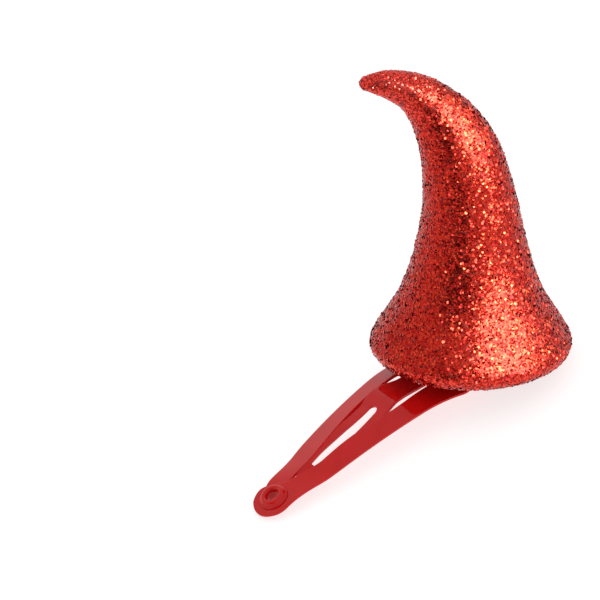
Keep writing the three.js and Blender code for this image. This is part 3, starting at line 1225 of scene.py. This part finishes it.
        def corner(along: float, across: float) -> Vector:
            """Place a corner of the tongue.

            Args:
                along: Share of the way from the tip to the root.
                across: Share of the way from the near edge to the far one.

            Returns:
                The corner in the frame.
            """
            reach, near, far, height, slope = rows[round(along * last_row)]
            column = round(across * columns)
            inset = self.strip_share * (far - near)
            middle = min(max(self.slot_middle(reach), near + inset), far - inset)
            half = self.slot_width(reach)
            if column <= self.strip_cells:
                slot, outer, from_slot = middle - half, near, self.strip_cells - column
            else:
                slot, outer, from_slot = middle + half, far, column - self.strip_cells - 1
            side = slot + (outer - slot) * from_slot / self.strip_cells
            banked = layout.bank_drop(reach, side) * smooth(reach, *self.flat)
            return place.at(layout.point(reach, side, height + slope * side - banked))

        tongue = laid_grid("snap_tongue", (last_row, columns), corner)
        bpy.ops.object.mode_set(mode="EDIT")
        bpy.ops.mesh.select_mode(type="FACE")
        cut = bmesh.from_edit_mesh(tongue.data)
        cut.faces.ensure_lookup_table()
        for face in cut.faces:
            face.select_set(face.index // last_row == self.strip_cells)
        bmesh.update_edit_mesh(tongue.data)
        bpy.ops.mesh.delete(type="FACE")
        bpy.ops.mesh.select_mode(type="VERT")
        weld()
        bpy.ops.object.mode_set(mode="OBJECT")
        edge.finish(tongue, layout, place, rows[-1, 0])
        return tongue

    def dress(
        self,
        tongue: bpy.types.Object,
        layout: ClipLayout,
        place: Placement,
        finish: bpy.types.Material,
        edge: SheetEdge,
    ) -> None:
        """Give the tongue its finish.

        Args:
            tongue: The tongue.
            layout: The clip's layout; it is not used.
            place: Where the clip stands; it is not used.
            finish: Its material.
            edge: How the sheet's edges are rounded.
        """
        shade(tongue, finish, edge.crease)
        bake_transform(tongue)
        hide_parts("clip_tongue")


def eyelet_axes(layout: ClipLayout) -> Matrix:
    """Stand axes on the sheet at the eyelet.

    Args:
        layout: The clip's layout.

    Returns:
        Axes in the clip's own, with their origin in the middle of the lap and +Z off the sheet.
    """
    middle = layout.point(0.0, 0.0, 0.0)
    normal = layout.point(0.0, 0.0, 1.0) - middle
    turn = UPWARD.rotation_difference(normal)
    return Matrix.Translation(middle) @ turn.to_matrix().to_4x4()


@dataclass(frozen=True)
class Eyelet:
    """The hollow rivet that holds the lapped ends: a rolled ring on a low collar, and a rolled foot."""

    bore: float = 1.1e-3
    collar: float = 2.6e-3
    ring: float = 2.2e-3
    collar_height: float = 0.30e-3
    ring_height: float = 0.62e-3
    foot_height: float = 0.86e-3
    corner: float = 0.08e-3
    seat: float = 0.01e-3
    roll_steps: int = 12
    spin_steps: int = 64
    crease: float = math.radians(40.0)

    def roll(self, first: float, last: float, level: float, height: float) -> list[tuple[float, float]]:
        """Draw half an ellipse from one radius to another.

        Args:
            first: Radius where it starts.
            last: Radius where it ends.
            level: Height of both its ends.
            height: How far it rises past them, or falls if below 0.

        Returns:
            Radius and height of its corners.
        """
        middle = (first + last) / 2.0
        half = (first - last) / 2.0
        angles = [step / self.roll_steps * math.pi for step in range(self.roll_steps + 1)]
        return [(middle + half * math.cos(a), level + height * math.sin(a)) for a in angles]

    def profile(self, layout: ClipLayout) -> list[tuple[float, float]]:
        """Draw half the rivet's section.

        Args:
            layout: The clip's layout.

        Returns:
            Radius and height of each corner, once round the section.
        """
        top = layout.lap_top + self.seat
        below = layout.lap_low - layout.sheet - self.seat
        collar_top = top + self.collar_height
        corner = self.corner
        outline = self.roll(self.bore, self.collar, below, -self.foot_height)
        outline += [
            (self.collar, top),
            (self.collar, collar_top - 2.0 * corner),
            (self.collar - corner, collar_top - corner / 2.0),
            (self.ring + corner, collar_top),
        ]
        return outline + self.roll(self.ring, self.bore, collar_top + corner, self.ring_height)

    def build(self, layout: ClipLayout, place: Placement) -> bpy.types.Object:
        """Extrude the section's outline and spin it into the rivet.

        Args:
            layout: The clip's layout.
            place: Where the clip stands.

        Returns:
            The eyelet.
        """
        outline = self.profile(layout)
        deselect()
        bpy.ops.mesh.primitive_plane_add(size=self.bore)
        rivet = named("rivet_eyelet")
        bpy.ops.object.mode_set(mode="EDIT")
        bpy.ops.mesh.select_all(action="SELECT")
        bpy.ops.mesh.merge(type="CENTER")
        bpy.ops.transform.translate(value=(outline[0][0], 0.0, outline[0][1]))
        for (radius, height), (next_radius, next_height) in zip(outline, outline[1:] + outline[:1]):
            step = (next_radius - radius, 0.0, next_height - height)
            bpy.ops.mesh.extrude_region_move(TRANSFORM_OT_translate={"value": step})
        bpy.ops.mesh.select_all(action="SELECT")
        bpy.ops.mesh.spin(
            steps=self.spin_steps, angle=2.0 * math.pi, center=(0.0, 0.0, 0.0), axis=(0.0, 0.0, 1.0)
        )
        weld()
        bpy.ops.mesh.normals_make_consistent(inside=False)
        bpy.ops.object.mode_set(mode="OBJECT")
        settle(rivet, place.matrix @ eyelet_axes(layout))
        return rivet

    def dress(self, rivet: bpy.types.Object, finish: bpy.types.Material) -> None:
        """Give the eyelet its finish and its body.

        Args:
            rivet: The eyelet.
            finish: Its material.
        """
        shade(rivet, finish, self.crease)
        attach(rivet, Body.CLIP.value)
        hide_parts("eyelet")


@dataclass(frozen=True)
class SoftBox:
    """A soft box that only shows as a shine on the glitter.

    It has a bearing from the camera's, a lift, a roll, a size, and a gel that keeps red foil from
    washing out.
    """

    name: str
    turn: float
    lift: float
    roll: float
    distance: float
    width: float
    height: float
    power: float
    gel: Colour = (0.46, 0.95, 0.88)

    def build(self, towards: Vector, aim: Vector, lit: list[bpy.types.Object]) -> None:
        """Add the soft box and turn it to the clip.

        Args:
            towards: The way from the clip to the box.
            aim: The place that it looks at.
            lit: The pieces that it shines on.
        """
        light = bpy.data.lights.new(self.name, "AREA")
        light.shape = "RECTANGLE"
        light.size = self.width
        light.size_y = self.height
        light.energy = self.power
        light.color = self.gel
        box = bpy.data.objects.new(self.name, light)
        box.location = aim + towards * self.distance
        facing = towards.to_track_quat("Z", "Y").to_matrix()
        box.rotation_euler = (facing @ Matrix.Rotation(self.roll, 3, "Z")).to_euler()
        box.visible_camera = False
        box.visible_diffuse = False
        bpy.context.scene.collection.objects.link(box)
        receivers = bpy.data.collections.new(f"{self.name}_lights")
        for piece in lit:
            receivers.objects.link(piece)
        box.light_linking.receiver_collection = receivers


@dataclass(frozen=True)
class Studio:
    """A white floor in a white room, soft boxes, and the camera at the photograph's angle."""

    azimuth: float = math.radians(320.0)
    elevation: float = math.radians(24.2)
    frame_pixels: float = 600.0
    pixel: float = 0.168e-3
    base_pixel: tuple[float, float] = (470.9, 354.0)
    distance: float = 3.0
    sensor: float = 36.0
    floor_size: float = 12.0
    floor_colour: Colour = (0.42, 0.42, 0.42)
    floor_glow: float = 0.74
    floor_roughness: float = 0.9
    room: float = 0.9
    dark_side: float = 0.11
    dark_turn: float = math.radians(-26.0)
    dark_lift: float = math.radians(8.0)
    dark_near: float = math.radians(14.0)
    dark_far: float = math.radians(42.0)
    boxes: tuple[SoftBox, ...] = (
        SoftBox(
            name="key_box",
            turn=math.radians(55.0),
            lift=math.radians(27.0),
            roll=math.radians(48.0),
            distance=0.9,
            width=0.54,
            height=1.04,
            power=31.0,
        ),
        SoftBox(
            name="side_box",
            turn=math.radians(98.0),
            lift=math.radians(20.0),
            roll=0.0,
            distance=0.9,
            width=0.6,
            height=1.0,
            power=6.6,
        ),
    )

    def towards(self, place: Placement, turn: float, lift: float) -> Vector:
        """Point away from the clip.

        Args:
            place: Where the clip stands.
            turn: Bearing from the camera's, counted to its right.
            lift: Angle above the floor.

        Returns:
            The direction in the frame.
        """
        bearing = self.azimuth + turn
        level = place.along(Vector((math.cos(bearing), math.sin(bearing), 0.0)))
        level.z = 0.0
        level.normalize()
        return level * math.cos(lift) + UPWARD * math.sin(lift)

    def camera_axes(self, place: Placement) -> Matrix:
        """Find the camera's right, up and backward directions in the frame.

        Args:
            place: Where the clip stands.

        Returns:
            A turn whose columns are those directions.
        """
        a, e = self.azimuth, self.elevation
        right = Vector((-math.sin(a), math.cos(a), 0.0))
        upward = Vector((-math.cos(a) * math.sin(e), -math.sin(a) * math.sin(e), math.cos(e)))
        backward = Vector((math.cos(a) * math.cos(e), math.sin(a) * math.cos(e), math.sin(e)))
        turned = [place.along(direction) for direction in (right, upward, backward)]
        return Matrix(turned).transposed()

    def add_camera(self, place: Placement) -> None:
        """Add the camera and make it the scene's.

        Args:
            place: Where the clip stands.
        """
        axes = self.camera_axes(place)
        middle = self.frame_pixels / 2.0
        aside = (middle - self.base_pixel[0]) * self.pixel
        above = (self.base_pixel[1] - middle) * self.pixel
        aim = place.at(Vector()) + axes @ Vector((aside, above, 0.0))
        lens = bpy.data.cameras.new("camera")
        lens.sensor_width = self.sensor
        lens.lens = self.sensor * self.distance / (self.frame_pixels * self.pixel)
        camera = bpy.data.objects.new("camera", lens)
        camera.matrix_world = Matrix.Translation(aim + axes.col[2] * self.distance) @ axes.to_4x4()
        bpy.context.scene.collection.objects.link(camera)
        bpy.context.scene.camera = camera

    def add_floor(self) -> None:
        """Add the floor, whose glow makes it white and keeps the shadow on it faint."""
        deselect()
        bpy.ops.mesh.primitive_plane_add(size=self.floor_size)
        floor = named("floor")
        sheet = NodeSheet("white_floor")
        sheet.set(
            Base_Color=(*self.floor_colour, 1.0),
            Roughness=self.floor_roughness,
            Specular_IOR_Level=0.0,
            Emission_Color=(1.0, 1.0, 1.0, 1.0),
            Emission_Strength=self.floor_glow,
        )
        floor.data.materials.append(sheet.material)

    def add_room(self, place: Placement) -> None:
        """Light the room white all round, but darker beside the camera.

        Args:
            place: Where the clip stands.
        """
        world = bpy.data.worlds.new("white_room")
        world.use_nodes = True
        tree = world.node_tree
        background = tree.nodes["Background"]
        towards = tree.nodes.new("ShaderNodeTexCoord")
        facing = tree.nodes.new("ShaderNodeVectorMath")
        facing.operation = "DOT_PRODUCT"
        facing.inputs[1].default_value = self.towards(place, self.dark_turn, self.dark_lift)
        fade = tree.nodes.new("ShaderNodeMapRange")
        fade.interpolation_type = "SMOOTHSTEP"
        fade.inputs["From Min"].default_value = math.cos(self.dark_far)
        fade.inputs["From Max"].default_value = math.cos(self.dark_near)
        fade.inputs["To Min"].default_value = self.room
        fade.inputs["To Max"].default_value = self.dark_side
        tree.links.new(towards.outputs["Generated"], facing.inputs[0])
        tree.links.new(facing.outputs["Value"], fade.inputs["Value"])
        tree.links.new(fade.outputs["Result"], background.inputs["Strength"])
        background.inputs["Color"].default_value = (1.0, 1.0, 1.0, 1.0)
        bpy.context.scene.world = world

    def build(self, place: Placement) -> None:
        """Set up the camera, the floor and the room.

        Args:
            place: Where the clip stands.
        """
        self.add_camera(place)
        self.add_floor()
        self.add_room(place)
        bpy.context.scene.view_settings.view_transform = "Standard"

    def shine(self, place: Placement, lit: list[bpy.types.Object]) -> None:
        """Set up the soft boxes.

        Args:
            place: Where the clip stands.
            lit: The pieces that they shine on.
        """
        for box in self.boxes:
            box.build(self.towards(place, box.turn, box.lift), place.at(Vector()), lit)


def report(piece: bpy.types.Object) -> None:
    """Log a finished piece and how many faces it has."""
    log.info("%s: %d faces", piece.name, len(piece.data.polygons))


def main() -> None:
    """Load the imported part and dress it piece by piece."""
    logging.basicConfig(level=logging.INFO, format="%(message)s")
    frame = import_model()
    layout = ClipLayout()
    place = Placement.from_frame(frame, layout)
    studio = Studio()
    studio.build(place)

    horn = Horn()
    skin = horn.build()
    foil = GlitterFinish().build()
    coats = (
        GlitterCoat("glitter_bed", flakes=48000, across=0.42e-3, lean=0.09, lift=0.03e-3, seed=11),
        GlitterCoat("glitter_loose", flakes=18000, across=0.40e-3, lean=0.26, lift=0.08e-3, seed=23),
    )
    lit = [skin]
    for coat in coats:
        flakes = coat.build(skin, horn)
        coat.dress(flakes, place.matrix @ horn.turn(), foil)
        report(flakes)
        lit.append(flakes)
    horn.dress(skin, place, GlueFinish().build())
    report(skin)
    studio.shine(place, lit)

    enamel = EnamelFinish().build()
    edge = SheetEdge()
    clip_frame = ClipFrame()
    sheet = clip_frame.build(layout, place, edge)
    clip_frame.dress(sheet, enamel, edge)
    report(sheet)

    clip_tongue = ClipTongue()
    tongue = clip_tongue.build(layout, place, edge)
    clip_tongue.dress(tongue, layout, place, enamel, edge)
    report(tongue)

    eyelet = Eyelet()
    rivet = eyelet.build(layout, place)
    eyelet.dress(rivet, enamel)
    report(rivet)


if __name__ == "__main__":
    main()
